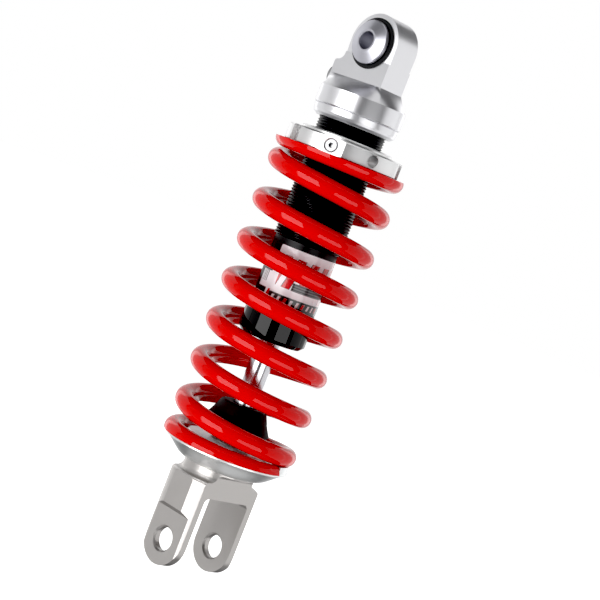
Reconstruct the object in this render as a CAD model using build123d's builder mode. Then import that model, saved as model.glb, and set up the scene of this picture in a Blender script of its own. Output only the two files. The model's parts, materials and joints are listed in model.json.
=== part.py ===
from build123d import *
import os
from math import cos, radians, sin, sqrt

os.makedirs("parts", exist_ok=True)

# Rear shock absorber: coil spring over a single-tube gas damper.
# Millimetres. The origin is the centre of the upper eye, +Z runs up the damper's axis, and both
# fixing bolts lie along X. Heights are therefore negative below the upper eye.

# ---- Driving dimensions -----------------------------------------------------------------------
eye_to_eye = 270.0          # upper bolt to lower bolt, fully extended
stroke = 40.0               # travel of the rod, bump stop squeezed

upper_bolt_r = 4.6          # clearance on an M8 bolt
lower_bolt_r = 6.1          # clearance on an M12 bolt
hole_chamfer = 0.9

sleeve_r = 10.6
sleeve_nose_r = 11.3        # the ends stand a little larger, with a coned face
sleeve_half = 14.0          # half the length clamped in the frame bracket
sleeve_face_r = 5.8
sleeve_cone = 2.2
sleeve_waist_r = 7.6
sleeve_waist_half = 5.2
sleeve_chamfer = 0.4
bush_r = 13.2
bush_half = 9.4
bond_gap = 0.05             # running clearance left at the bonded rubber face

eye_r = 15.6
eye_half = 8.4              # half the thickness of the eye tab
eye_cone_inner = 13.8
eye_cone_outer = 18.5
eye_cone_depth = 1.0
eye_cone_floor = -7.6

boss_reach = 20.8           # gas filling boss, on the +Y side of the head
boss_top = -12.5
boss_corner = 1.5
boss_root = 4.0

head_r = 22.8
head_high = -27.5
head_low = -36.5
shoulder_high = -19.8        # the head flares from the tab's outline to a circle below here
groove_break = 0.45         # the two chamfers that make the thin groove under the head

ring_low = -42.4
ring_r_high = 22.3
ring_knee = -39.8           # the ring is straight down to here, then rounds in
ring_r_low = 20.2

thread_r = 17.9             # M36 x 1.5 body thread
tube_r = 16.8
bore_r = 14.5
spigot_r = 16.0
spigot_high = -28.0
chamber_high = -26.2
thread_low = -106.0
tube_low = -152.0

cap_r = 17.9
cap_high = -143.4
cap_low = -157.8
cap_chamfer = 2.1

fit = 0.05                  # clearance of parts that slide into one another

collar_r = 30.4
collar_high = -51.0
collar_low = -59.5
collar_hub_r = 24.0
collar_hub_high = -49.2
collar_spigot_r = 24.4
collar_spigot_low = -62.0
collar_step = 45.0          # angle from one notch or hole of the collar to the next
screw_angle = 210.0
collar_flat_half = 13.0     # half the angle taken by the flat round the set screw
notch_wide = 6.8
notch_deep = 3.0
tommy_hole_r = 3.1
tommy_hole_deep = 9.5
tommy_angle = 253.6
screw_r = 3.3
screw_long = 7.0
screw_socket_flat = 2.5

wire_r = 4.9
spring_outer_r = 34.8
spring_r = spring_outer_r - wire_r
spring_high = collar_low    # ground flat against the collar
spring_low = -218.4         # ground flat on the lower seat
spring_start_angle = 133.0
spring_turns = 8.41
pitch = 21.75
end_pitch_high = 4.0
end_pitch_low = 6.0
ramp_high = (0.40, 0.85)    # turns over which the top coil opens out
ramp_low = (7.30, 8.00)     # turns over which the bottom coil closes up

rod_r = 6.0
rod_stub_r = 4.0            # upper end, through the piston
rod_foot_r = 5.0            # lower end, threaded into the fork
rod_shoulder = -122.5
rod_foot_high = -207.5
rod_low = -236.0

bump_high = -193.6
bump_low = -206.0
bump_r_high = 11.7
bump_r_low = 17.6
bump_bore_r = 6.4

seat_r = 33.2
seat_guide_r = 23.6         # centres the spring's last coil
seat_hub_r = 11.5
seat_low = -228.2
seat_hub_high = -214.4
stop_angle = 283.5          # block on the seat that the spring's cut end stands against
stop_arc = 28.0
stop_high = -214.6

fork_r = 23.7               # turned outside of the fork
fork_neck_r = 18.7
fork_cove_high = -230.8     # the neck sweeps out to the shoulder through this cove
fork_cove = 3.1
fork_half_y = 13.5          # flats on the front and the back, and the radius of the ears' ends
fork_flat_x = 22.6
fork_flat_top = -234.6
fork_flat_wide = 7.6
fork_flat_corner = 3.0
fork_spot_x = 20.5          # deeper flat for the bolt head or nut, below a sloping ledge
fork_spot_high = -254.7
fork_ledge_high = -252.6
fork_round = 1.8            # rounded edge of the fork's shoulder
fork_gap_half = 15.8
fork_gap_high = -242.0
fork_gap_corner = 3.0
fork_flat_high = -228.9
fork_flat_cove = 2.6
fork_edge = 0.5


def section(inner, outer, low, high):
    """Rectangle in the half plane beside the axis, turned into a plain ring by revolve."""
    with BuildSketch(Plane.XZ) as profile:
        with Locations(((inner + outer) / 2, (low + high) / 2)):
            Rectangle(outer - inner, high - low)
    return profile.sketch


def radial_plane(angle, radius, height):
    """Plane that faces outwards from the axis, at an angle round it."""
    outward = Vector(cos(radians(angle)), sin(radians(angle)), 0)
    sideways = Vector(-sin(radians(angle)), cos(radians(angle)), 0)
    return Plane(origin=outward * radius + Vector(0, 0, height), x_dir=sideways, z_dir=outward)


def half_plane(angle):
    """Plane through the axis, its first direction pointing outwards at an angle round it."""
    return Plane(
        origin=(0, 0, 0),
        x_dir=(cos(radians(angle)), sin(radians(angle)), 0),
        z_dir=(sin(radians(angle)), -cos(radians(angle)), 0),
    )


def save(builder, label):
    """Name a finished piece and write its file."""
    builder.part.label = label
    export_step(builder.part, f"parts/{label}.step")


# ---- Upper mounting: waisted steel sleeve in a bonded rubber bush ---------------------------------
waist_slope = sleeve_r - sleeve_waist_r

with BuildPart() as upper_sleeve:
    with BuildSketch(Plane.XY):
        with BuildLine():
            Polyline(
                (-sleeve_half, upper_bolt_r),
                (-sleeve_half, sleeve_face_r),
                (-sleeve_half + sleeve_cone, sleeve_nose_r - sleeve_chamfer),
                (-sleeve_half + sleeve_cone + sleeve_chamfer, sleeve_nose_r),
                (-bush_half - 0.6, sleeve_nose_r),
                (-bush_half - 0.3, sleeve_r),
                (-sleeve_waist_half, sleeve_r),
                (-sleeve_waist_half + waist_slope, sleeve_waist_r),
                (sleeve_waist_half - waist_slope, sleeve_waist_r),
                (sleeve_waist_half, sleeve_r),
                (bush_half + 0.3, sleeve_r),
                (bush_half + 0.6, sleeve_nose_r),
                (sleeve_half - sleeve_cone - sleeve_chamfer, sleeve_nose_r),
                (sleeve_half - sleeve_cone, sleeve_nose_r - sleeve_chamfer),
                (sleeve_half, sleeve_face_r),
                (sleeve_half, upper_bolt_r),
                close=True,
            )
        make_face()
    revolve(axis=Axis.X)
    chamfer(
        upper_sleeve.edges().filter_by(GeomType.CIRCLE).filter_by(
            lambda edge: abs(edge.radius - upper_bolt_r) < 0.01
        ),
        0.25,
    )
save(upper_sleeve, "upper_sleeve")

with BuildPart() as rubber_bush:
    with BuildSketch(Plane.XY):
        with BuildLine():
            Polyline(
                (-bush_half, sleeve_r + bond_gap),
                (-bush_half, bush_r - 0.5),
                (-bush_half + 0.5, bush_r),
                (bush_half - 0.5, bush_r),
                (bush_half, bush_r - 0.5),
                (bush_half, sleeve_r + bond_gap),
                (sleeve_waist_half - bond_gap, sleeve_r + bond_gap),
                (sleeve_waist_half - waist_slope - bond_gap, sleeve_waist_r + bond_gap),
                (-sleeve_waist_half + waist_slope + bond_gap, sleeve_waist_r + bond_gap),
                (-sleeve_waist_half + bond_gap, sleeve_r + bond_gap),
                close=True,
            )
        make_face()
    revolve(axis=Axis.X)
save(rubber_bush, "rubber_bush")

# ---- Head: eye tab with a gas filling boss, on a turned shoulder ----------------------------------
plug_height = -20.8
plug_r = 2.95
plug_inner = 13.9
plug_cap_r = 5.6
plug_cap_outer = 26.2
passage_r = 1.2
cove_mid = boss_root * (1 - sqrt(0.5))

with BuildPart() as head:
    with BuildSketch(Plane.XZ):
        with BuildLine():
            Polyline(
                (0, head_low),
                (head_r - groove_break, head_low),
                (head_r, head_low + groove_break),
                (head_r, head_high),
                (0, head_high),
                close=True,
            )
        make_face()
    revolve(axis=Axis.Z)
    with BuildSketch(Plane.XY.offset(head_high)):
        Circle(head_r)
    with BuildSketch(Plane.XY.offset(shoulder_high)):
        with Locations((0, (boss_reach - eye_r) / 2)):
            Rectangle(2 * eye_half, boss_reach + eye_r)
    loft()
    with BuildSketch(Plane.YZ):
        with BuildLine():
            ThreePointArc((eye_r, 0), (0, eye_r), (-eye_r, 0))
            Polyline(
                (-eye_r, 0),
                (-eye_r, shoulder_high),
                (boss_reach, shoulder_high),
                (boss_reach, boss_top - boss_corner),
            )
            ThreePointArc(
                (boss_reach, boss_top - boss_corner),
                (boss_reach - boss_corner * (1 - sqrt(0.5)), boss_top - boss_corner * (1 - sqrt(0.5))),
                (boss_reach - boss_corner, boss_top),
            )
            Line((boss_reach - boss_corner, boss_top), (eye_r + boss_root, boss_top))
            ThreePointArc(
                (eye_r + boss_root, boss_top),
                (eye_r + cove_mid, boss_top + cove_mid),
                (eye_r, boss_top + boss_root),
            )
            Line((eye_r, boss_top + boss_root), (eye_r, 0))
        make_face()
    extrude(amount=eye_half, both=True)
    with BuildSketch(Plane.YZ):
        Circle(bush_r)
    extrude(amount=eye_half + 1, both=True, mode=Mode.SUBTRACT)
    # shallow cone turned on both faces of the eye, down to the level where the base begins
    with BuildPart(mode=Mode.PRIVATE) as eye_cone:
        with BuildSketch(Plane.XY):
            for side in (-1, 1):
                with BuildLine():
                    Polyline(
                        (side * eye_half, eye_cone_inner),
                        (side * (eye_half + 1), eye_cone_inner),
                        (side * (eye_half + 1), eye_cone_outer),
                        (side * (eye_half - eye_cone_depth), eye_cone_outer),
                        close=True,
                    )
                make_face()
        revolve(axis=Axis.X)
        split(bisect_by=Plane.XY.offset(eye_cone_floor), keep=Keep.TOP)
    add(eye_cone.part, mode=Mode.SUBTRACT)
    revolve(section(0, spigot_r + fit, head_low, spigot_high), axis=Axis.Z, mode=Mode.SUBTRACT)
    revolve(section(0, bore_r, spigot_high, chamber_high), axis=Axis.Z, mode=Mode.SUBTRACT)
    revolve(section(0, passage_r, chamber_high, plug_height), axis=Axis.Z, mode=Mode.SUBTRACT)
    with BuildSketch(Plane.XZ.offset(-boss_reach)):
        with Locations((0, plug_height)):
            Circle(plug_cap_r + 0.5)
    extrude(amount=-(head_r - boss_reach + 1), mode=Mode.SUBTRACT)
    with BuildSketch(Plane.XZ.offset(-boss_reach)):
        with Locations((0, plug_height)):
            Circle(passage_r)
    extrude(amount=boss_reach, mode=Mode.SUBTRACT)
    with BuildSketch(Plane.XZ.offset(-boss_reach)):
        with Locations((0, plug_height)):
            Circle(plug_r + fit)
    extrude(amount=boss_reach - plug_inner + 0.7, mode=Mode.SUBTRACT)
save(head, "head")

with BuildPart() as gas_plug:
    with BuildSketch(Plane.XZ.offset(-boss_reach)):
        with Locations((0, plug_height)):
            Circle(plug_r)
    extrude(amount=boss_reach - plug_inner)
    with BuildSketch(Plane.XZ.offset(-boss_reach)):
        with Locations((0, plug_height)):
            Circle(plug_cap_r)
    extrude(amount=-(plug_cap_outer - boss_reach))
    chamfer(gas_plug.faces().sort_by(Axis.Y)[-1].edges(), 1.1)
    with BuildSketch(Plane.XZ.offset(-plug_cap_outer)):
        with Locations((0, plug_height)):
            RegularPolygon(2.5, 6, major_radius=False)
    extrude(amount=3.6, mode=Mode.SUBTRACT)
save(gas_plug, "gas_plug")

with BuildPart() as plug_seal:
    with BuildSketch(Plane.XZ.offset(-plug_inner)):
        with Locations((0, plug_height)):
            Circle(plug_r - 0.1)
            Circle(passage_r + 0.2, mode=Mode.SUBTRACT)
    extrude(amount=0.6)
save(plug_seal, "plug_seal")

with BuildPart() as lock_ring:
    with BuildSketch(Plane.XZ):
        with BuildLine():
            Polyline(
                (thread_r + 0.01, head_low),
                (ring_r_high - groove_break, head_low),
                (ring_r_high, head_low - groove_break),
                (ring_r_high - 0.2, ring_knee),
                (ring_r_high - 0.8, (ring_knee + ring_low) / 2),
                (ring_r_low, ring_low + 0.3),
                (ring_r_low - 0.3, ring_low),
                (thread_r + 0.01, ring_low),
                close=True,
            )
        make_face()
    revolve(axis=Axis.Z)
save(lock_ring, "lock_ring")

# ---- Damper tube with its O-ring and label --------------------------------------------------------
tube_ring_low = -33.4
tube_ring_high = -31.2
tube_ring_deep = 0.6

with BuildPart() as damper_tube:
    with BuildSketch(Plane.XZ):
        with BuildLine():
            Polyline(
                (bore_r, spigot_high),
                (spigot_r - 0.4, spigot_high),
                (spigot_r, spigot_high - 0.4),
                (spigot_r, head_low),
                (thread_r, head_low),
                (thread_r, thread_low + 0.8),
                (tube_r, thread_low),
                (tube_r, tube_low),
                (bore_r, tube_low),
                close=True,
            )
        make_face()
    revolve(axis=Axis.Z)
    revolve(
        section(spigot_r - tube_ring_deep, spigot_r + 1, tube_ring_low, tube_ring_high),
        axis=Axis.Z,
        mode=Mode.SUBTRACT,
    )
save(damper_tube, "damper_tube")

with BuildPart() as tube_oring:
    ring_inner = spigot_r - tube_ring_deep + 0.02
    revolve(section(ring_inner, spigot_r + 0.02, tube_ring_low + 0.3, tube_ring_high - 0.3), axis=Axis.Z)
save(tube_oring, "tube_oring")

label_high = -109.4
label_low = -138.4
label_thick = 0.15
label_start = 155.0
label_arc = 241.0

with BuildPart() as label:
    with BuildSketch(half_plane(label_start)):
        with Locations((tube_r + label_thick / 2 + 0.01, (label_high + label_low) / 2)):
            Rectangle(label_thick, label_high - label_low)
    revolve(axis=Axis.Z, revolution_arc=label_arc)
save(label, "label")

# ---- Gas chamber: floating piston and its O-ring --------------------------------------------------
gas_high = -46.0
gas_low = -56.0
gas_groove_low = -52.6
gas_groove_high = -49.4
gas_groove_r = 12.4
gas_dish_r = 11.0
gas_dish_deep = 4.5

with BuildPart() as gas_piston:
    revolve(section(0, bore_r - fit, gas_low, gas_high), axis=Axis.Z)
    revolve(
        section(gas_groove_r, bore_r, gas_groove_low, gas_groove_high), axis=Axis.Z, mode=Mode.SUBTRACT
    )
    revolve(section(0, gas_dish_r, gas_high - gas_dish_deep, gas_high), axis=Axis.Z, mode=Mode.SUBTRACT)
save(gas_piston, "gas_piston")

with BuildPart() as gas_piston_oring:
    revolve(
        section(gas_groove_r + 0.05, bore_r - 0.03, gas_groove_low + 0.3, gas_groove_high - 0.3),
        axis=Axis.Z,
    )
    fillet(gas_piston_oring.edges(), 0.6)
save(gas_piston_oring, "gas_piston_oring")

# ---- Rod guide, seals and end cap -----------------------------------------------------------------
guide_high = -131.0
guide_low = -146.5
guide_bush_r = 7.3
guide_groove_low = -140.0
guide_groove_high = -137.2
guide_groove_r = 12.6
seal_low = -151.0
wiper_r = 9.0
wiper_low = -156.2
topout_high = rod_shoulder - 0.3

with BuildPart() as topout_bumper:
    revolve(section(rod_r + 0.4, 10.0, guide_high, topout_high), axis=Axis.Z)
    fillet(
        topout_bumper.edges().filter_by(GeomType.CIRCLE).filter_by(lambda edge: edge.radius > 9.9), 1.2
    )
save(topout_bumper, "topout_bumper")

with BuildPart() as rod_guide:
    revolve(section(guide_bush_r, bore_r - fit, guide_low, guide_high), axis=Axis.Z)
    revolve(
        section(guide_groove_r, bore_r, guide_groove_low, guide_groove_high),
        axis=Axis.Z,
        mode=Mode.SUBTRACT,
    )
save(rod_guide, "rod_guide")

with BuildPart() as guide_bush:
    revolve(section(rod_r + fit, guide_bush_r - 0.02, guide_low + 0.5, guide_high - 0.5), axis=Axis.Z)
save(guide_bush, "guide_bush")

with BuildPart() as guide_oring:
    revolve(
        section(guide_groove_r + 0.05, bore_r - 0.02, guide_groove_low + 0.3, guide_groove_high - 0.3),
        axis=Axis.Z,
    )
save(guide_oring, "guide_oring")

with BuildPart() as rod_seal:
    revolve(section(rod_r + fit, bore_r - fit, seal_low, guide_low), axis=Axis.Z)
    revolve(section(rod_r + 1.2, 9.5, seal_low, seal_low + 2.2), axis=Axis.Z, mode=Mode.SUBTRACT)
save(rod_seal, "rod_seal")

with BuildPart() as end_cap:
    with BuildSketch(Plane.XZ):
        with BuildLine():
            Polyline(
                (tube_r + 0.02, cap_high),
                (cap_r - 0.5, cap_high),
                (cap_r, cap_high - 0.5),
                (cap_r, cap_low + cap_chamfer),
                (cap_r - cap_chamfer, cap_low),
                (rod_r + 0.7, cap_low),
                (rod_r + 0.7, wiper_low),
                (wiper_r, wiper_low),
                (wiper_r, tube_low),
                (tube_r + 0.02, tube_low),
                close=True,
            )
        make_face()
    revolve(axis=Axis.Z)
save(end_cap, "end_cap")

with BuildPart() as wiper_seal:
    revolve(section(rod_r + fit, wiper_r - fit, wiper_low, tube_low - 0.3), axis=Axis.Z)
    lip = section(rod_r + 1.0, wiper_r - 1.2, wiper_low, wiper_low + 1.6)
    revolve(lip, axis=Axis.Z, mode=Mode.SUBTRACT)
save(wiper_seal, "wiper_seal")

# ---- Piston stack on the rod's upper stub ---------------------------------------------------------
stop_plate_thick = 2.0
shim_thick = 0.35
shim_step = 0.45
shim_radii = (12.0, 10.5, 9.0, 7.5)
shim_stack = shim_step * len(shim_radii)
piston_long = 10.0
piston_low = rod_shoulder + stop_plate_thick + shim_stack
piston_high = piston_low + piston_long
clamp_low = piston_high + shim_stack
clamp_thick = 1.5
nut_flats = 13.0
nut_high = 5.5
band_half = 2.4
band_r = 13.5
port_r = 1.6
port_circle_r = 9.2

with BuildPart() as rebound_stop:
    revolve(section(rod_stub_r + fit, 10.0, rod_shoulder, rod_shoulder + stop_plate_thick), axis=Axis.Z)
save(rebound_stop, "rebound_stop")

with BuildPart() as rebound_shims:
    for number, radius in enumerate(reversed(shim_radii)):
        low = rod_shoulder + stop_plate_thick + number * shim_step
        revolve(section(rod_stub_r + fit, radius, low + 0.05, low + 0.05 + shim_thick), axis=Axis.Z)
save(rebound_shims, "rebound_shims")

with BuildPart() as piston:
    revolve(section(rod_stub_r + fit, bore_r - 0.2, piston_low, piston_high), axis=Axis.Z)
    middle = (piston_low + piston_high) / 2
    revolve(
        section(band_r, bore_r, middle - band_half, middle + band_half), axis=Axis.Z, mode=Mode.SUBTRACT
    )
    with BuildSketch(Plane.XY.offset(piston_low)):
        with PolarLocations(port_circle_r, 6):
            Circle(port_r)
    extrude(amount=piston_long, mode=Mode.SUBTRACT)
save(piston, "piston")

with BuildPart() as piston_band:
    band = section(band_r + 0.03, bore_r - 0.04, middle - band_half + 0.1, middle + band_half - 0.1)
    revolve(band, axis=Axis.Z)
save(piston_band, "piston_band")

with BuildPart() as compression_shims:
    for number, radius in enumerate(shim_radii):
        low = piston_high + number * shim_step
        revolve(section(rod_stub_r + fit, radius, low + 0.05, low + 0.05 + shim_thick), axis=Axis.Z)
save(compression_shims, "compression_shims")

with BuildPart() as clamp_washer:
    revolve(section(rod_stub_r + fit, 6.5, clamp_low, clamp_low + clamp_thick), axis=Axis.Z)
save(clamp_washer, "clamp_washer")

with BuildPart() as piston_nut:
    with BuildSketch(Plane.XY.offset(clamp_low + clamp_thick)):
        RegularPolygon(nut_flats / 2, 6, major_radius=False)
        Circle(rod_stub_r + 0.02, mode=Mode.SUBTRACT)
    extrude(amount=nut_high)
save(piston_nut, "piston_nut")

with BuildPart() as piston_rod:
    with BuildSketch(Plane.XZ):
        with BuildLine():
            Polyline(
                (0, rod_low),
                (rod_foot_r - 0.8, rod_low),
                (rod_foot_r, rod_low + 0.8),
                (rod_foot_r, rod_foot_high),
                (rod_r, rod_foot_high),
                (rod_r, rod_shoulder),
                (rod_stub_r, rod_shoulder),
                (rod_stub_r, clamp_low + clamp_thick + nut_high + 0.6),
                (rod_stub_r - 0.6, clamp_low + clamp_thick + nut_high + 1.2),
                (0, clamp_low + clamp_thick + nut_high + 1.2),
                close=True,
            )
        make_face()
    revolve(axis=Axis.Z)
save(piston_rod, "piston_rod")

# ---- Preload collar, set screw and its soft pad ---------------------------------------------------
collar_middle = (collar_high + collar_low) / 2
flat_reach = collar_r * cos(radians(collar_flat_half))
screw_outer = flat_reach - 0.2
pad_outer = screw_outer - screw_long
pad_r = 2.3

with BuildPart() as preload_collar:
    with BuildSketch(Plane.XZ):
        with BuildLine():
            Polyline(
                (thread_r + fit, collar_hub_high),
                (collar_hub_r - 0.6, collar_hub_high),
                (collar_hub_r, collar_hub_high - 0.6),
                (collar_hub_r, collar_high),
                (collar_r - 0.7, collar_high),
                (collar_r, collar_high - 0.7),
                (collar_r, collar_low + 0.5),
                (collar_r - 0.5, collar_low),
                (collar_spigot_r, collar_low),
                (collar_spigot_r - 1.0, collar_spigot_low),
                (thread_r + fit, collar_spigot_low),
                close=True,
            )
        make_face()
    revolve(axis=Axis.Z)
    with BuildSketch(radial_plane(screw_angle, flat_reach, collar_middle)):
        Rectangle(2 * collar_r, 2 * (collar_high - collar_low))
    extrude(amount=collar_r, mode=Mode.SUBTRACT)
    for number in range(2, 8):
        with BuildSketch(
            radial_plane(screw_angle + number * collar_step, collar_r - notch_deep, collar_middle)
        ):
            Rectangle(notch_wide, 2 * (collar_high - collar_low))
        extrude(amount=2 * notch_deep, mode=Mode.SUBTRACT)
    with BuildSketch(radial_plane(tommy_angle, collar_r - tommy_hole_deep, collar_middle)):
        Circle(tommy_hole_r)
    extrude(amount=2 * tommy_hole_deep, mode=Mode.SUBTRACT)
    with BuildSketch(radial_plane(screw_angle, pad_outer, collar_middle)):
        Circle(screw_r + 0.02)
    extrude(amount=2 * screw_long, mode=Mode.SUBTRACT)
    with BuildSketch(radial_plane(screw_angle, thread_r - 1, collar_middle)):
        Circle(pad_r + 0.05)
    extrude(amount=pad_outer - thread_r + 1.5, mode=Mode.SUBTRACT)
    chamfer(
        preload_collar.edges().filter_by(GeomType.CIRCLE).filter_by(
            lambda edge: abs(edge.radius - screw_r - 0.02) < 0.01 and edge.center().length > flat_reach - 5
        ),
        0.4,
    )
save(preload_collar, "preload_collar")

with BuildPart() as collar_set_screw:
    with BuildSketch(radial_plane(screw_angle, pad_outer + 0.1, collar_middle)):
        Circle(screw_r)
    extrude(amount=screw_long - 0.1)
    with BuildSketch(radial_plane(screw_angle, screw_outer, collar_middle)):
        RegularPolygon(screw_socket_flat / 2, 6, major_radius=False)
    extrude(amount=-3.2, mode=Mode.SUBTRACT)
    chamfer(
        collar_set_screw.edges().filter_by(GeomType.CIRCLE).filter_by(
            lambda edge: edge.center().length > flat_reach
        ),
        0.5,
    )
save(collar_set_screw, "collar_set_screw")

with BuildPart() as set_screw_pad:
    with BuildSketch(radial_plane(screw_angle, thread_r + 0.45, collar_middle)):
        Circle(pad_r)
    extrude(amount=pad_outer - thread_r - 0.45)
save(set_screw_pad, "set_screw_pad")


# ---- Coil spring: left-hand helix, ends closed and ground flat ------------------------------------
def ramp_drop(turns, ramp, before, after):
    """Fall of the wire inside a ramp, where the pitch changes evenly from one value to another."""
    span = turns - ramp[0]
    return before * span + (after - before) * span ** 2 / (2 * (ramp[1] - ramp[0]))


def wire_drop(turns):
    """Fall of the wire's centre below its upper end, after a number of turns."""
    opened = end_pitch_high * ramp_high[0]
    full = opened + ramp_drop(ramp_high[1], ramp_high, end_pitch_high, pitch)
    closing = full + pitch * (ramp_low[0] - ramp_high[1])
    closed = closing + ramp_drop(ramp_low[1], ramp_low, pitch, end_pitch_low)
    if turns <= ramp_high[0]:
        return end_pitch_high * turns
    if turns <= ramp_high[1]:
        return opened + ramp_drop(turns, ramp_high, end_pitch_high, pitch)
    if turns <= ramp_low[0]:
        return full + pitch * (turns - ramp_high[1])
    if turns <= ramp_low[1]:
        return closing + ramp_drop(turns, ramp_low, pitch, end_pitch_low)
    return closed + end_pitch_low * (turns - ramp_low[1])


wire_start = spring_high + 0.2
steps = round(spring_turns * 16)
wire_line = []
for step in range(steps + 1):
    turns = spring_turns * step / steps
    angle = radians(spring_start_angle + 360 * turns)
    wire_line.append((spring_r * cos(angle), spring_r * sin(angle), wire_start - wire_drop(turns)))

with BuildPart() as coil_spring:
    with BuildLine() as wire:
        Spline(*wire_line)
    with BuildSketch(Plane(origin=wire.line @ 0, z_dir=wire.line % 0)):
        Circle(wire_r)
    sweep(is_frenet=True)
    split(bisect_by=Plane.XY.offset(spring_high), keep=Keep.BOTTOM)
    split(bisect_by=Plane.XY.offset(spring_low), keep=Keep.TOP)
save(coil_spring, "coil_spring")

# ---- Bump stop, washer and lock nut on the rod ----------------------------------------------------
washer_low = rod_foot_high
lock_nut_low = -213.4
lock_nut_flats = 19.0

with BuildPart() as bump_stop:
    with BuildSketch(Plane.XZ):
        with BuildLine():
            Polyline(
                (bump_bore_r, bump_low),
                (bump_r_low, bump_low),
                (bump_r_low, bump_low + 1.2),
                (bump_r_high, bump_high),
                (bump_bore_r, bump_high),
                close=True,
            )
        make_face()
    revolve(axis=Axis.Z)
    fillet(
        bump_stop.edges().filter_by(GeomType.CIRCLE).filter_by(lambda edge: edge.radius > bump_bore_r + 1),
        0.5,
    )
save(bump_stop, "bump_stop")

with BuildPart() as bump_washer:
    revolve(section(rod_r + fit, 16.5, washer_low, bump_low), axis=Axis.Z)
save(bump_washer, "bump_washer")

with BuildPart() as lock_nut:
    with BuildSketch(Plane.XY.offset(lock_nut_low)):
        RegularPolygon(lock_nut_flats / 2, 6, major_radius=False)
        Circle(rod_foot_r + 0.02, mode=Mode.SUBTRACT)
    extrude(amount=washer_low - lock_nut_low)
save(lock_nut, "lock_nut")

# ---- Lower spring seat: dished ring with a stop for the spring's cut end --------------------------
with BuildPart() as lower_seat:
    with BuildSketch(Plane.XZ):
        with BuildLine():
            Polyline(
                (seat_hub_r + 0.02, seat_hub_high),
                (seat_guide_r - 1.4, seat_hub_high),
                (seat_guide_r, seat_hub_high - 1.4),
                (seat_guide_r, spring_low),
                (seat_r - 0.5, spring_low),
                (seat_r, spring_low - 0.5),
                (seat_r, spring_low - 1.3),
            )
            Spline((seat_r, spring_low - 1.3), (28.4, -222.8), (24.6, -226.0), (fork_neck_r + 0.4, seat_low))
            Polyline(
                (fork_neck_r + 0.4, seat_low),
                (seat_hub_r + 0.02, seat_low),
                (seat_hub_r + 0.02, seat_hub_high),
            )
        make_face()
    revolve(axis=Axis.Z)
    with BuildSketch(half_plane(stop_angle)):
        with Locations(((seat_guide_r - 1 + seat_r - 0.4) / 2, (stop_high + spring_low - 1.0) / 2)):
            Rectangle(seat_r + 0.6 - seat_guide_r, stop_high - spring_low + 1.0)
    revolve(axis=Axis.Z, revolution_arc=stop_arc)
save(lower_seat, "lower_seat")

# ---- Clevis fork: turned bar, milled to two ears --------------------------------------------------
ear_low = -eye_to_eye - fork_half_y
cove_mid_r = fork_cove * (1 - sqrt(0.5))
round_mid = fork_round * (1 - sqrt(0.5))
ledge_slope = (fork_ledge_high - fork_spot_high) / (fork_flat_x - fork_spot_x)
ledge_end = fork_spot_high + (fork_r + 3 - fork_spot_x) * ledge_slope

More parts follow.
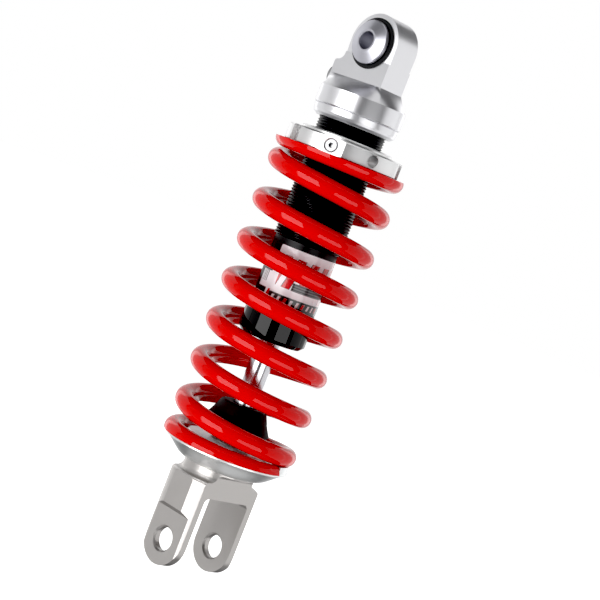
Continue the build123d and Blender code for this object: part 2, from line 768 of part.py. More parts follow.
with BuildPart() as clevis_fork:
    with BuildSketch(Plane.XZ):
        with BuildLine():
            Polyline(
                (0, lock_nut_low),
                (seat_hub_r - 0.8, lock_nut_low),
                (seat_hub_r, lock_nut_low - 0.8),
                (seat_hub_r, seat_low),
                (fork_neck_r, seat_low),
                (fork_neck_r, fork_cove_high),
            )
            ThreePointArc(
                (fork_neck_r, fork_cove_high),
                (fork_neck_r + cove_mid_r, fork_cove_high - fork_cove + cove_mid_r),
                (fork_neck_r + fork_cove, fork_cove_high - fork_cove),
            )
            Line(
                (fork_neck_r + fork_cove, fork_cove_high - fork_cove),
                (fork_r - fork_round, fork_cove_high - fork_cove),
            )
            ThreePointArc(
                (fork_r - fork_round, fork_cove_high - fork_cove),
                (fork_r - round_mid, fork_cove_high - fork_cove - round_mid),
                (fork_r, fork_cove_high - fork_cove - fork_round),
            )
            Polyline(
                (fork_r, fork_cove_high - fork_cove - fork_round),
                (fork_r, ear_low),
                (0, ear_low),
                (0, lock_nut_low),
            )
        make_face()
    revolve(axis=Axis.Z)
    # front and back flats, each with a cove where the cutter leaves the neck
    for side in (-1, 1):
        with BuildSketch(Plane.YZ):
            with BuildLine():
                Polyline(
                    (side * fork_half_y, ear_low - 1),
                    (side * 2 * fork_r, ear_low - 1),
                    (side * 2 * fork_r, fork_flat_high),
                    (side * (fork_half_y + fork_flat_cove), fork_flat_high),
                )
                ThreePointArc(
                    (side * (fork_half_y + fork_flat_cove), fork_flat_high),
                    (
                        side * (fork_half_y + fork_flat_cove * (1 - sqrt(0.5))),
                        fork_flat_high - fork_flat_cove * (1 - sqrt(0.5)),
                    ),
                    (side * fork_half_y, fork_flat_high - fork_flat_cove),
                )
                Line(
                    (side * fork_half_y, fork_flat_high - fork_flat_cove),
                    (side * fork_half_y, ear_low - 1),
                )
            make_face()
        extrude(amount=2 * fork_r, both=True, mode=Mode.SUBTRACT)
    # rounded ends of the ears
    with BuildSketch(Plane.YZ):
        with BuildLine():
            ThreePointArc((-fork_half_y, -eye_to_eye), (0, ear_low), (fork_half_y, -eye_to_eye))
            Polyline(
                (fork_half_y, -eye_to_eye),
                (2 * fork_half_y, -eye_to_eye),
                (2 * fork_half_y, ear_low - 2),
                (-2 * fork_half_y, ear_low - 2),
                (-2 * fork_half_y, -eye_to_eye),
                (-fork_half_y, -eye_to_eye),
            )
        make_face()
    extrude(amount=2 * fork_r, both=True, mode=Mode.SUBTRACT)
    # outer flats, spot faces and the gap between the ears
    for side in (-1, 1):
        with BuildSketch(Plane.YZ.offset(side * fork_flat_x)):
            with Locations((0, (fork_flat_top + ear_low - 10) / 2)):
                RectangleRounded(2 * fork_flat_wide, fork_flat_top - ear_low + 10, fork_flat_corner)
        extrude(amount=side * fork_r, mode=Mode.SUBTRACT)
        with BuildSketch(Plane.XZ):
            with BuildLine():
                Polyline(
                    (side * fork_spot_x, ear_low - 1),
                    (side * fork_spot_x, fork_spot_high),
                    (side * (fork_r + 3), ledge_end),
                    (side * (fork_r + 3), ear_low - 1),
                    close=True,
                )
            make_face()
        extrude(amount=fork_r, both=True, mode=Mode.SUBTRACT)
    with BuildSketch(Plane.XZ) as gap_outline:
        with BuildLine():
            FilletPolyline(
                (-fork_gap_half, ear_low - 2),
                (-fork_gap_half, fork_gap_high),
                (fork_gap_half, fork_gap_high),
                (fork_gap_half, ear_low - 2),
                radius=fork_gap_corner,
            )
            Line((fork_gap_half, ear_low - 2), (-fork_gap_half, ear_low - 2))
        make_face()
    extrude(amount=2 * fork_half_y, both=True, mode=Mode.SUBTRACT)
    with BuildSketch(Plane.YZ):
        with Locations((0, -eye_to_eye)):
            Circle(lower_bolt_r)
    extrude(amount=2 * fork_r, both=True, mode=Mode.SUBTRACT)
    revolve(section(0, rod_foot_r + 0.02, rod_low - 2.0, lock_nut_low), axis=Axis.Z, mode=Mode.SUBTRACT)
    chamfer(
        clevis_fork.edges().filter_by(GeomType.CIRCLE).filter_by(
            lambda edge: abs(edge.radius - lower_bolt_r) < 0.01
        ),
        hole_chamfer,
    )
save(clevis_fork, "clevis_fork")
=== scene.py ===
import json
import math

import bpy
from mathutils import Matrix, Vector


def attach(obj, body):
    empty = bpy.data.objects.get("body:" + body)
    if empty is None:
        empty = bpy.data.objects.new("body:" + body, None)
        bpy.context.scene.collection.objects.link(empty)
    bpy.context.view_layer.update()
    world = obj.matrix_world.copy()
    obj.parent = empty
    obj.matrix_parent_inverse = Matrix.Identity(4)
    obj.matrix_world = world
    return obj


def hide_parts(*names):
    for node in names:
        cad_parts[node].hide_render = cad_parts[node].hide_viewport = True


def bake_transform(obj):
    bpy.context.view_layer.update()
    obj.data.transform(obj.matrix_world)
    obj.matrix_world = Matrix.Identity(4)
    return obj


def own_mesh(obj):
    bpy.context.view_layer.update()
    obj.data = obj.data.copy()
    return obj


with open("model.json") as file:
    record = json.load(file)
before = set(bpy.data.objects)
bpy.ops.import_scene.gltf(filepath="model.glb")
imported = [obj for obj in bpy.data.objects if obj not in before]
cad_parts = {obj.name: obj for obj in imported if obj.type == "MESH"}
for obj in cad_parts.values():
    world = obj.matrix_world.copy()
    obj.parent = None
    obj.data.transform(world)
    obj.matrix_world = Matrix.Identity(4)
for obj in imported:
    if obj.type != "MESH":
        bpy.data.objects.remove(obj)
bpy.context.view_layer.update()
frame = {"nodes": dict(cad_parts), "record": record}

MM = 0.001
MM_PER_METRE = 1000.0
TAU = 2 * math.pi

# The label, in degrees round the axis and in millimetres.
LABEL_START = 155.0  # where the film begins
LABEL_PANEL = 26.0  # from there to the edge of the printed panel
LABEL_MM_PER_DEGREE = 0.296
LABEL_TOP = -109.4
LABEL_HEIGHT = 29.0
LABEL_SLANT = 7.0  # how far the slanted blocks lean between top and foot


# ---- Node trees ---------------------------------------------------------------------------------
def plug(tree, socket, value):
    """Feeds a socket from another one, or sets it to a constant."""
    if isinstance(value, Value):
        tree.links.new(value.socket, socket)
    else:
        socket.default_value = value


class Value:
    """A socket of a node tree, with sums on it written as Python writes them."""

    def __init__(self, tree, socket):
        self.tree = tree
        self.socket = socket

    def sum(self, operation, *others, clamp=False):
        node = self.tree.nodes.new("ShaderNodeMath")
        node.operation = operation
        node.use_clamp = clamp
        for socket, value in zip(node.inputs, (self, *others)):
            plug(self.tree, socket, value)
        return Value(self.tree, node.outputs[0])

    def __add__(self, other):
        return self.sum("ADD", other)

    def __radd__(self, other):
        return self.sum("ADD", other)

    def __sub__(self, other):
        return self.sum("SUBTRACT", other)

    def __rsub__(self, other):
        return self.sum("MULTIPLY", -1.0).sum("ADD", other)

    def __mul__(self, other):
        return self.sum("MULTIPLY", other)

    def __rmul__(self, other):
        return self.sum("MULTIPLY", other)

    def __truediv__(self, other):
        return self.sum("DIVIDE", other)

    def __rtruediv__(self, other):
        return self.sum("POWER", -1.0).sum("MULTIPLY", other)

    def __abs__(self):
        return self.sum("ABSOLUTE")

    def sin(self):
        return self.sum("SINE")

    def cos(self):
        return self.sum("COSINE")

    def root(self):
        return self.sum("SQRT")

    def part(self):
        return self.sum("FRACT")

    def least(self, other):
        return self.sum("MINIMUM", other)

    def most(self, other):
        return self.sum("MAXIMUM", other)

    def above(self, level, soft=0.0):
        """1 above a level and 0 below it, over a soft step of that width."""
        if not soft:
            return self.sum("GREATER_THAN", level)
        return ((self - level) / soft + 0.5).sum("ADD", 0.0, clamp=True)

    def within(self, low, high, soft=0.0):
        return self.above(low, soft) * (1.0 - self.above(high, soft))


# A Mix node's sockets when it mixes colours: its factor, its two colours and its result.
MIX_INPUTS = (0, 6, 7)
MIX_RESULT = 2


class Tree:
    """A node tree in the making. node() adds any node and hands it back."""

    def __init__(self, tree):
        self.tree = tree

    def node(self, kind, settings=None, inputs=None):
        made = self.tree.nodes.new(kind)
        for key, value in (settings or {}).items():
            setattr(made, key, value)
        for key, value in (inputs or {}).items():
            plug(self.tree, made.inputs[key], value)
        return made

    def value(self, node, key=0):
        return Value(self.tree, node.outputs[key])

    def place(self):
        """The Object coordinates in millimetres, as x, y and z."""
        where = self.node("ShaderNodeTexCoord").outputs["Object"]
        parts = self.node("ShaderNodeSeparateXYZ", inputs={0: Value(self.tree, where)})
        return [Value(self.tree, out) * MM_PER_METRE for out in parts.outputs]

    def vector(self, x, y, z):
        return self.value(self.node("ShaderNodeCombineXYZ", inputs={0: x, 1: y, 2: z}))

    def noise(self, vector, scale, detail=3.0, rough=0.5):
        made = self.node(
            "ShaderNodeTexNoise",
            inputs={"Vector": vector, "Scale": scale, "Detail": detail, "Roughness": rough},
        )
        return self.value(made, "Fac")

    def mix(self, share, first, second):
        made = self.node("ShaderNodeMix", {"data_type": "RGBA"})
        for number, value in zip(MIX_INPUTS, (share, first, second)):
            plug(self.tree, made.inputs[number], value)
        return Value(self.tree, made.outputs[MIX_RESULT])


class Finish(Tree):
    """A material with one Principled shader, its bump and its varying sockets."""

    def __init__(self, name, **constants):
        self.material = bpy.data.materials.new(name)
        self.material.use_nodes = True
        super().__init__(self.material.node_tree)
        self.shader = self.tree.nodes["Principled BSDF"]
        for key, value in constants.items():
            self.shader.inputs[key.replace("_", " ")].default_value = value

    def set(self, key, value):
        self.tree.links.new(value.socket, self.shader.inputs[key])

    def bump(self, height, depth_mm):
        made = self.node(
            "ShaderNodeBump", inputs={"Height": height, "Strength": 1.0, "Distance": depth_mm * MM}
        )
        self.tree.links.new(made.outputs[0], self.shader.inputs["Normal"])


def colour(red, green, blue):
    return (red, green, blue, 1.0)


# ---- Finishes ------------------------------------------------------------------------------------
def turned_metal(name, tone, rough, axis="Z", line=0.55, depth=0.004, spread=0.08, tint=0.05):
    """Metal turned in a lathe: fine rings round the axis, and faint changes of tone and polish."""
    finish = Finish(name, Metallic=1.0)
    x, y, z = finish.place()
    along, side, up = (z, x, y) if axis == "Z" else (x, y, z)
    radius = (side * side + up * up).root()
    rings = finish.noise(finish.vector(radius / line, along / line, 0.0), 1.0, 2.0)
    fine = finish.noise(finish.vector(radius / (line * 0.3), along / (line * 0.3), 3.0), 1.0, 2.0)
    cloud = finish.noise(finish.vector(x, y, z), 0.09, 3.0)
    finish.bump(rings * 0.6 + fine * 0.4, depth)
    finish.set("Roughness", rough + (rings - 0.5) * spread + (cloud - 0.5) * spread)
    shade = [max(0.0, part - tint) for part in tone]
    finish.set("Base Color", finish.mix(cloud * 0.6 + fine * 0.4, colour(*shade), colour(*tone)))
    return finish.material


def milled_metal(name, tone, rough, grain=0.35, depth=0.004, spread=0.10, tint=0.04):
    """Metal milled and then fine blasted: a close even grain over faint cutter marks."""
    finish = Finish(name, Metallic=1.0)
    x, y, z = finish.place()
    here = finish.vector(x, y, z)
    grains = finish.noise(here, 1.0 / grain, 2.0, 0.6)
    marks = finish.noise(finish.vector(x * 0.3, y / 0.9, z / 6.0), 1.0, 2.0)
    cloud = finish.noise(here, 0.12, 3.0)
    finish.bump(grains * 0.7 + marks * 0.3, depth)
    finish.set("Roughness", rough + (grains - 0.5) * spread + (cloud - 0.5) * spread)
    shade = [max(0.0, part - tint) for part in tone]
    finish.set("Base Color", finish.mix(cloud * 0.5 + grains * 0.5, colour(*shade), colour(*tone)))
    return finish.material


def moulded(name, tone, rough, grain=0.5, depth=0.01, pale=0.006):
    """Moulded rubber or plastic: a matt grain, a little dust in the tone."""
    finish = Finish(name, Specular_IOR_Level=0.3)
    here = finish.vector(*finish.place())
    grains = finish.noise(here, 1.0 / grain, 3.0, 0.6)
    cloud = finish.noise(here, 0.15, 3.0)
    finish.bump(grains, depth)
    finish.set("Roughness", rough + (grains - 0.5) * 0.16 + (cloud - 0.5) * 0.08)
    dusty = [part + pale for part in tone]
    finish.set("Base Color", finish.mix(cloud * 0.7 + grains * 0.3, colour(*tone), colour(*dusty)))
    return finish.material


def powder_coat(name, tone, deep, rough, peel=1.6, depth=0.006):
    """Glossy baked paint, with the slight orange peel that it dries with."""
    finish = Finish(
        name, Coat_Weight=1.0, Coat_Roughness=0.05, Coat_IOR=1.40, Specular_IOR_Level=0.0
    )
    here = finish.vector(*finish.place())
    waves = finish.noise(here, 1.0 / peel, 2.0)
    flake = finish.noise(here, 3.0, 2.0, 0.6)
    cloud = finish.noise(here, 0.08, 2.0)
    finish.bump(waves, depth)
    finish.set("Roughness", rough + (waves - 0.5) * 0.08 + (flake - 0.5) * 0.04)
    finish.set("Base Color", finish.mix(cloud * 0.6 + flake * 0.4, colour(*deep), colour(*tone)))
    return finish.material


def chrome_plate(name):
    """Hard chrome, ground then polished: hairlines round the rod, almost a mirror."""
    finish = Finish(name, Metallic=1.0)
    x, y, z = finish.place()
    hair = finish.noise(finish.vector(x * 0.2, y * 0.2, z / 0.12), 1.0, 2.0)
    cloud = finish.noise(finish.vector(x, y, z), 0.1, 2.0)
    finish.bump(hair, 0.0006)
    finish.set("Roughness", 0.19 + (hair - 0.5) * 0.05 + (cloud - 0.5) * 0.03)
    finish.set("Base Color", finish.mix(cloud, colour(0.62, 0.62, 0.65), colour(0.70, 0.70, 0.73)))
    return finish.material


def printed_label(name):
    """Film label in plain panels: pale bands, slanted red blocks and a black foot. No lettering."""
    finish = Finish(name, Coat_Weight=0.8, Coat_Roughness=0.08)
    x, y, z = finish.place()
    turned = (y.sum("ARCTAN2", x) / TAU - LABEL_START / 360.0).part() * 360.0
    run = (turned - LABEL_PANEL) * LABEL_MM_PER_DEGREE
    down = (LABEL_TOP - z) / LABEL_HEIGHT
    drop = down * LABEL_HEIGHT
    slant = run + down * LABEL_SLANT
    grain = finish.noise(finish.vector(x, y, z), 2.5, 2.0)
    ground = finish.mix(grain, colour(0.86, 0.86, 0.90), colour(0.93, 0.93, 0.96))
    red = finish.mix(grain, colour(0.60, 0.004, 0.008), colour(0.72, 0.006, 0.012))
    black = finish.mix(grain, colour(0.004, 0.004, 0.005), colour(0.010, 0.010, 0.011))
    grey = finish.mix(grain, colour(0.16, 0.16, 0.17), colour(0.24, 0.24, 0.25))
    block_pitch, line_pitch, stroke_pitch, stripe_pitch = 7.6, 1.3, 3.4, 1.15

    # Red blocks with dark edges, and a dark panel with fine grey lines at their right.
    band = down.within(0.145, 0.695, 0.01) * run.above(4.3)
    beat = (slant / block_pitch + 0.40).part()
    paint = finish.mix(band * beat.within(0.04, 0.66, 0.02), ground, black)
    paint = finish.mix(band * beat.within(0.10, 0.62, 0.02), paint, red)
    lines = (drop / line_pitch).part().within(0.15, 0.70, 0.1)
    block = down.within(0.56, 0.70, 0.008) * run.above(13.2)
    paint = finish.mix(block, paint, black)
    paint = finish.mix(block * lines * 0.6, paint, grey)

    # The black foot, with pale strokes, some of them red, and a red edge.
    foot = down.above(0.825, 0.008) * (slant - 8.5).above(0.0, 0.2)
    strokes = (slant / stroke_pitch).part().within(0.20, 0.62, 0.06)
    strokes = strokes * down.within(0.86, 0.95, 0.01)
    warm = (slant / (3 * stroke_pitch) + 0.1).part().above(0.62)
    paint = finish.mix(foot, paint, black)
    paint = finish.mix(foot * strokes * slant.within(10.0, 40.0), paint, ground)
    paint = finish.mix(foot * strokes * warm, paint, red)
    swoosh = (slant - 7.2).within(0.0, 1.3, 0.1) * down.above(0.80, 0.01)
    paint = finish.mix(swoosh, paint, red)

    # Grey stripes left of the panel, and black round its left edge and corners.
    stripe = (run / stripe_pitch).part().within(0.0, 0.55, 0.1)
    stripe = stripe * down.within(0.50, 0.70, 0.01) * run.within(-5.6, -1.2)
    paint = finish.mix(stripe, paint, grey)
    corner = (run - 1.0) * (run - 1.0) + (drop - 1.0) * (drop - 1.0)
    rounded = run.within(-9.0, 1.0) * drop.within(-1.0, 1.0) * corner.above(1.0)
    upper = (1.0 - down.above(0.50, 0.01)) * (1.0 - run.above(0.0, 0.15))
    paint = finish.mix(upper.most(rounded), paint, black)
    lower = down.above(0.50) * (1.0 - run.above(-6.4, 0.15))
    below = down.above(0.80, 0.01) * (1.0 - run.above(0.0, 0.15))
    paint = finish.mix(lower.most(below), paint, black)
    finish.set("Base Color", paint)
    finish.set("Roughness", 0.30 + (grain - 0.5) * 0.08)
    finish.bump(grain, 0.002)
    return finish.material


def black_anodised(name):
    """Black hard anodised aluminium, satin, a shade paler along the crests of its thread."""
    finish = Finish(name, Metallic=0.55)
    x, y, z = finish.place()
    radius = (x * x + y * y).root()
    rings = finish.noise(finish.vector(radius / 0.3, z / 0.3, 0.0), 1.0, 2.0)
    cloud = finish.noise(finish.vector(x, y, z), 0.15, 3.0)
    crest = radius.within(17.65, 18.4, 0.25)
    rubbed = (crest * (0.35 + cloud * 0.9)).least(1.0)
    dark, worn = colour(0.014, 0.014, 0.015), colour(0.028, 0.028, 0.030)
    finish.set("Base Color", finish.mix(rubbed, dark, worn))
    finish.set("Roughness", 0.38 + (rings - 0.5) * 0.14 - crest * 0.04)
    finish.bump(rings, 0.004)
    return finish.material


FINISHES = {
    "machined_alloy": turned_metal(
        "machined_alloy", (0.84, 0.84, 0.86), 0.30, line=0.7, depth=0.0015, spread=0.03
    ),
    "collar_alloy": turned_metal("collar_alloy", (0.84, 0.84, 0.84), 0.34, line=0.6, depth=0.002),
    "seat_alloy": turned_metal("seat_alloy", (0.88, 0.89, 0.89), 0.38, line=0.8, depth=0.003),
    "fork_alloy": milled_metal("fork_alloy", (0.55, 0.53, 0.515), 0.36),
    "guide_alloy": turned_metal("guide_alloy", (0.70, 0.70, 0.71), 0.30),
    "sleeve_steel": turned_metal(
        "sleeve_steel", (0.66, 0.66, 0.71), 0.36, axis="X", line=0.5, tint=0.16
    ),
    "steel": milled_metal("steel", (0.45, 0.45, 0.46), 0.30, grain=0.3, depth=0.002),
    "bronze": turned_metal("bronze", (0.60, 0.44, 0.22), 0.34),
    "tube_black": black_anodised("tube_black"),
    "cap_black": powder_coat(
        "cap_black", (0.004, 0.004, 0.005), (0.002, 0.002, 0.002), 0.30, depth=0.002
    ),
    "spring_red": powder_coat("spring_red", (0.76, 0.001, 0.0), (0.70, 0.001, 0.0), 0.40),
    "rod_chrome": chrome_plate("rod_chrome"),
    "rubber_black": moulded("rubber_black", (0.012, 0.012, 0.013), 0.55),
    "bump_foam": moulded("bump_foam", (0.012, 0.012, 0.013), 0.62, grain=0.9, depth=0.05),
    "seal_rubber": moulded("seal_rubber", (0.02, 0.02, 0.021), 0.45, grain=0.3),
    "label_film": printed_label("label_film"),
    "band_plastic": moulded("band_plastic", (0.20, 0.15, 0.09), 0.5),
    "pad_plastic": moulded("pad_plastic", (0.72, 0.72, 0.70), 0.45),
}

for part in frame["record"]["subparts"]:
    node = frame["nodes"][part["node"]]
    node.data.materials.clear()
    node.data.materials.append(FINISHES[part["material_slot"]])


# ---- Pieces made here ----------------------------------------------------------------------------
def lathe(name, profile, columns):
    """A closed outline of (radius, height) points in millimetres, turned about the axis."""
    verts, faces = [], []
    count = len(profile)
    for column in range(columns):
        angle = TAU * column / columns
        for radius, height in profile:
            across, away = radius * MM * math.cos(angle), radius * MM * math.sin(angle)
            verts.append((across, away, height * MM))
    for column in range(columns):
        here, beside = column * count, (column + 1) % columns * count
        for row in range(count):
            above = (row + 1) % count
            faces.append((here + row, here + above, beside + above, beside + row))
    mesh = bpy.data.meshes.new(name)
    mesh.from_pydata(verts, [], faces)
    mesh.update()
    made = bpy.data.objects.new(name, mesh)
    bpy.context.scene.collection.objects.link(made)
    return made


def grown(name, host, tree, settings, material):
    """Runs a geometry tree on a piece, and keeps the result as a plain mesh."""
    modifier = host.modifiers.new("grow", "NODES")
    modifier.node_group = tree
    for item in tree.interface.items_tree:
        if item.item_type == "SOCKET" and item.in_out == "INPUT" and item.name in settings:
            modifier[item.identifier] = settings[item.name]
    bpy.context.view_layer.update()
    graph = bpy.context.evaluated_depsgraph_get()
    mesh = bpy.data.meshes.new_from_object(host.evaluated_get(graph))
    mesh.name = name
    host.modifiers.remove(modifier)
    made = bpy.data.objects.new(name, mesh)
    bpy.context.scene.collection.objects.link(made)
    bpy.data.objects.remove(host)
    mesh.materials.clear()
    mesh.materials.append(material)
    return made


def geometry_tree(name, numbers):
    """An empty geometry tree with Geometry in and out, and one number input for each name."""
    group = bpy.data.node_groups.new(name, "GeometryNodeTree")
    group.interface.new_socket("Geometry", in_out="OUTPUT", socket_type="NodeSocketGeometry")
    group.interface.new_socket("Geometry", in_out="INPUT", socket_type="NodeSocketGeometry")
    for label, value in numbers.items():
        kind = "NodeSocketInt" if isinstance(value, int) else "NodeSocketFloat"
        group.interface.new_socket(label, in_out="INPUT", socket_type=kind).default_value = value
    tree = Tree(group)
    entry = tree.node("NodeGroupInput")
    return group, tree, {out.name: Value(group, out) for out in entry.outputs if out.name}


def end_tree(group, tree, geometry, material):
    realised = tree.node("GeometryNodeRealizeInstances", inputs={"Geometry": geometry})
    painted = tree.node(
        "GeometryNodeSetMaterial", inputs={"Geometry": tree.value(realised), "Material": material}
    )
    tree.node("NodeGroupOutput", inputs={"Geometry": tree.value(painted)})
    return group


def smooth(made, degrees=35.0):
    made.data.shade_smooth()
    made.data.set_sharp_from_angle(angle=math.radians(degrees))
    return made


# Coil spring: the wire falls slowly in its end coils and evenly between them. The foot face stays
# 0.04 mm clear of the seat, so that the two don't share a plane.
WIRE = {
    "Mean Radius": 29.9 * MM,
    "Wire Radius": 4.9 * MM,
    "Start Angle": math.radians(133.0),
    "Start Height": -59.3 * MM,
    "Pitch": 21.75 * MM,
    "Top Pitch": 4.0 * MM,
    "Foot Pitch": 6.0 * MM,
    "Top Face": -59.5 * MM,
    "Foot Face": -218.36 * MM,
    "First Turn": 0.0,
    "Last Turn": 8.41,
    "Points": 540,
}
POINTS_PER_TURN = 64
TOP_RAMP = (0.40, 0.85)  # the turns over which the top coil opens to full pitch
FOOT_RAMP = (7.30, 8.00)  # and over which the last one closes again


def wire_tree():
    group, tree, size = geometry_tree("coiled_wire", WIRE)

    def opened(turn, start, end):
        """Turns' worth of full pitch gained by a ramp that starts and ends at these turns."""
        rising = (turn - start).most(0.0).least(end - start)
        return rising * rising * (0.5 / (end - start)) + (turn - end).most(0.0)

    line = tree.node("GeometryNodeCurvePrimitiveLine")
    fine = tree.node(
        "GeometryNodeResampleCurve", inputs={"Curve": tree.value(line), "Count": size["Points"]}
    )
    share = tree.value(tree.node("GeometryNodeSplineParameter"), "Factor")
    turn = size["First Turn"] + share * (size["Last Turn"] - size["First Turn"])
    angle = size["Start Angle"] + turn * TAU
    drop = size["Top Pitch"] * turn
    drop = drop + (size["Pitch"] - size["Top Pitch"]) * opened(turn, *TOP_RAMP)
    drop = drop - (size["Pitch"] - size["Foot Pitch"]) * opened(turn, *FOOT_RAMP)
    centre = tree.vector(
        size["Mean Radius"] * angle.cos(),
        size["Mean Radius"] * angle.sin(),
        size["Start Height"] - drop,
    )
    path = tree.node(
        "GeometryNodeSetPosition", inputs={"Geometry": tree.value(fine), "Position": centre}
    )
    circle = tree.node(
        "GeometryNodeCurvePrimitiveCircle", inputs={"Resolution": 40, "Radius": size["Wire Radius"]}
    )
    swept = tree.node(
        "GeometryNodeCurveToMesh",
        inputs={"Curve": tree.value(path), "Profile Curve": tree.value(circle), "Fill Caps": True},
    )
    where = tree.node("GeometryNodeInputPosition")
    parts = tree.node("ShaderNodeSeparateXYZ", inputs={0: tree.value(where)})
    ground = tree.value(parts, 2).least(size["Top Face"]).most(size["Foot Face"])
    flat = tree.vector(tree.value(parts, 0), tree.value(parts, 1), ground)
    faced = tree.node(
        "GeometryNodeSetPosition", inputs={"Geometry": tree.value(swept), "Position": flat}
    )
    return end_tree(group, tree, tree.value(faced), FINISHES["spring_red"])


def spring_piece(name, tree, first, last):
    host = bpy.data.objects.new("host", bpy.data.meshes.new("host"))
    bpy.context.scene.collection.objects.link(host)
    points = round((last - first) * POINTS_PER_TURN)
    settings = dict(WIRE, **{"First Turn": first, "Last Turn": last, "Points": points})
    made = grown(name, host, tree, settings, FINISHES["spring_red"])
    return smooth(made)


CUT_TURN = 1.75
SEAM_OVERLAP = 0.006  # turns by which the upper piece runs into the lower one
wire = wire_tree()
spring_top = spring_piece("spring_upper_coils", wire, 0.0, CUT_TURN + SEAM_OVERLAP)
spring_rest = spring_piece("spring_lower_coils", wire, CUT_TURN, WIRE["Last Turn"])
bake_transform(spring_top)
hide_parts("coil_spring")
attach(spring_rest, "damper_body")
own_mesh(spring_rest)
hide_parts("coil_spring")

# Damper tube with its thread cut round it.
THREAD = {"Pitch": 1.5 * MM, "Depth": 0.65 * MM, "Top": -37.0 * MM, "Foot": -105.6 * MM}
THREAD_RUNOUT = 1.2 * MM  # over which the thread fades at either end
THREAD_SKIN = 17.5 * MM  # only what lies outside this radius is cut
THREAD_ROWS = 280


def thread_tree():
    group, tree, size = geometry_tree("cut_thread", THREAD)
    where = tree.value(tree.node("GeometryNodeInputPosition"))
    parts = tree.node("ShaderNodeSeparateXYZ", inputs={0: where})
    x, y, z = (tree.value(parts, number) for number in range(3))
    radius = (x * x + y * y).root()
    turn = y.sum("ARCTAN2", x) / TAU
    phase = (z / size["Pitch"] - turn).part()
    valley = (abs(phase - 0.5) * 2.6 - 0.18).most(0.0).least(1.0)
    runout = ((size["Top"] - z) / THREAD_RUNOUT).least((z - size["Foot"]) / THREAD_RUNOUT)
    runout = runout.most(0.0).least(1.0)
    outside = radius.above(THREAD_SKIN)
    scale = 1.0 - size["Depth"] * (1.0 - valley) * runout * outside / radius
    moved = tree.vector(x * scale, y * scale, z)
    placed = tree.node(
        "GeometryNodeSetPosition", inputs={"Geometry": size["Geometry"], "Position": moved}
    )
    return end_tree(group, tree, tree.value(placed), FINISHES["tube_black"])


outer = [(17.9, -36.5 - 69.0 * row / THREAD_ROWS) for row in range(THREAD_ROWS + 1)]
tube_outline = [(14.5, -28.0), (15.6, -28.0), (16.0, -28.4), (16.0, -36.5)]
tube_outline += outer + [(16.8, -106.0), (16.8, -152.0), (14.5, -152.0)]
tube = grown(
    "threaded_tube", lathe("host", tube_outline, 120), thread_tree(), THREAD, FINISHES["tube_black"]
)
smooth(tube)
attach(tube, "damper_body")
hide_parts("damper_tube")

# Bump stop: a moulded double cone with shallow grooves.
bump_outline = [
    (6.4, -206.0), (16.8, -206.0), (17.5, -205.6), (17.6, -204.9), (17.0, -203.9),
    (15.6, -201.6), (14.9, -200.2), (14.5, -199.6), (14.3, -198.8), (13.2, -196.4),
    (12.4, -194.6), (12.0, -194.0), (11.4, -193.6), (7.4, -193.6), (6.4, -194.2),
]
bump = smooth(lathe("bump_stop_moulding", bump_outline[::-1], 96))
bump.data.materials.append(FINISHES["bump_foam"])
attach(bump, "rod_assembly")
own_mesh(bump)
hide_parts("bump_stop")


# ---- Studio --------------------------------------------------------------------------------------
CAMERA_AZIMUTH = math.radians(-46.763)
CAMERA_DISTANCE = 0.93039
CAMERA_HEIGHT = -0.07071
PITCH = math.radians(3.860)
ROLL = math.radians(0.308)
YAW = math.radians(0.4245)
LEAN = math.radians(21.0)

stand = Vector(
    (CAMERA_DISTANCE * math.sin(CAMERA_AZIMUTH), -CAMERA_DISTANCE * math.cos(CAMERA_AZIMUTH), 0)
)
level_back = stand.normalized()
level_side = Vector((math.cos(CAMERA_AZIMUTH), math.sin(CAMERA_AZIMUTH), 0))
upright = Vector((0, 0, 1))
back = level_back * math.cos(PITCH) + upright * math.sin(PITCH)
up = upright * math.cos(PITCH) - level_back * math.sin(PITCH)
side = level_side * math.cos(ROLL) + up * math.sin(ROLL)
up = up * math.cos(ROLL) - level_side * math.sin(ROLL)
turned_back = back * math.cos(YAW) - side * math.sin(YAW)
side = side * math.cos(YAW) + back * math.sin(YAW)
back = turned_back
across = side * math.cos(LEAN) + up * math.sin(LEAN)
top = up * math.cos(LEAN) - side * math.sin(LEAN)

lens = bpy.data.cameras.new("camera")
lens.lens = 110.18
lens.sensor_width = 36.0
lens.clip_end = 50.0
camera = bpy.data.objects.new("camera", lens)
bpy.context.scene.collection.objects.link(camera)
camera.matrix_world = Matrix(
    (
        (across.x, top.x, back.x, stand.x),
        (across.y, top.y, back.y, stand.y),
        (across.z, top.z, back.z, CAMERA_HEIGHT),
        (0, 0, 0, 1),
    )
)
bpy.context.scene.camera = camera
film = bpy.context.scene.view_settings
film.view_transform = "Standard"
film.use_curve_mapping = True
film.curve_mapping.black_level = (0.022, 0.022, 0.022)  # darkens the darkest tones

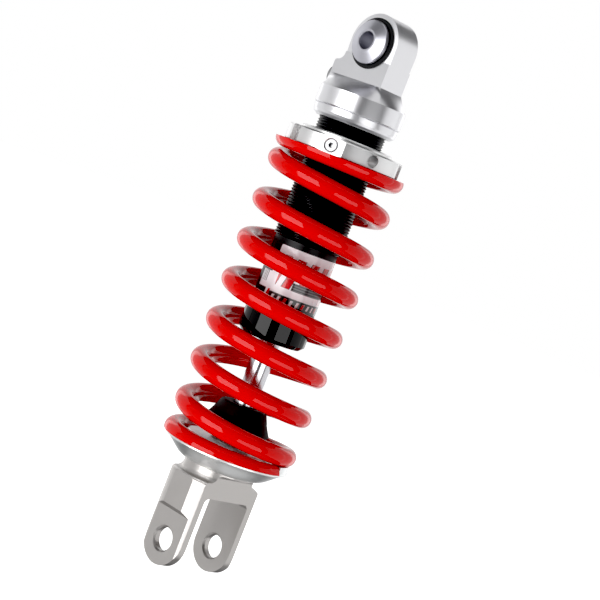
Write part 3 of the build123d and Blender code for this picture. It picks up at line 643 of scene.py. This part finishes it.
FLOOR_HALF = 9
FLOOR_HEIGHT = -0.62
floor_corners = [
    (x * FLOOR_HALF, y * FLOOR_HALF, FLOOR_HEIGHT) for x, y in ((-1, -1), (1, -1), (1, 1), (-1, 1))
]
floor_mesh = bpy.data.meshes.new("floor")
floor_mesh.from_pydata(floor_corners, [], [(0, 1, 2, 3)])
floor = bpy.data.objects.new("floor", floor_mesh)
bpy.context.scene.collection.objects.link(floor)
pale = Finish("pale_floor", Roughness=0.9)
pale.shader.inputs["Base Color"].default_value = colour(0.8, 0.8, 0.8)
pale.shader.inputs["Emission Color"].default_value = colour(1.0, 1.0, 1.0)
pale.shader.inputs["Emission Strength"].default_value = 1.0
floor_mesh.materials.append(pale.material)
floor.visible_diffuse = False
floor.visible_glossy = False
floor.visible_shadow = False

centre = Vector((0, 0, -0.14))


def softbox(name, azimuth, elevation, distance, width, height, radiance):
    """A soft light aimed at the shock. Azimuth counts from the camera, positive to the right."""
    lamp = bpy.data.lights.new(name, "AREA")
    lamp.shape = "RECTANGLE"
    lamp.size = width
    lamp.size_y = height
    lamp.energy = radiance * math.pi * width * height
    made = bpy.data.objects.new(name, lamp)
    bpy.context.scene.collection.objects.link(made)
    turn, rise = math.radians(azimuth), math.radians(elevation)
    flat = level_back * math.cos(turn) + level_side * math.sin(turn)
    away = flat * math.cos(rise) + upright * math.sin(rise)
    made.location = centre + away * distance
    aim = away.to_track_quat("Z", "Y").to_matrix().to_4x4()
    made.matrix_world = Matrix.Translation(made.location) @ aim
    made.visible_camera = False


softbox("left_front", -39, -3, 1.6, 1.25, 1.5, 3.7)
softbox("right_front", 33, -21, 1.6, 1.30, 1.15, 2.4)
softbox("left_side", -79, -4, 2.0, 1.30, 3.4, 0.60)
softbox("left_back", -126, 0, 2.0, 2.1, 3.4, 0.8)
softbox("right_side", 90, -2, 2.0, 1.65, 3.4, 0.9)
softbox("right_back", 132, 0, 2.0, 1.6, 3.4, 0.8)
softbox("overhead", 30, 80, 1.8, 2.0, 1.6, 0.75)
softbox("below", 0, -86, 1.8, 2.6, 2.6, 0.55)
softbox("white_wall", 180, 5, 3.0, 5.0, 4.0, 0.85)

world = bpy.data.worlds.new("studio")
world.use_nodes = True
bpy.context.scene.world = world
air = Tree(world.node_tree)
seen = air.value(air.node("ShaderNodeLightPath"), "Is Camera Ray")
shade = air.mix(seen, colour(0.05, 0.05, 0.052), colour(1.0, 1.0, 1.0))
world.node_tree.links.new(shade.socket, world.node_tree.nodes["Background"].inputs["Color"])
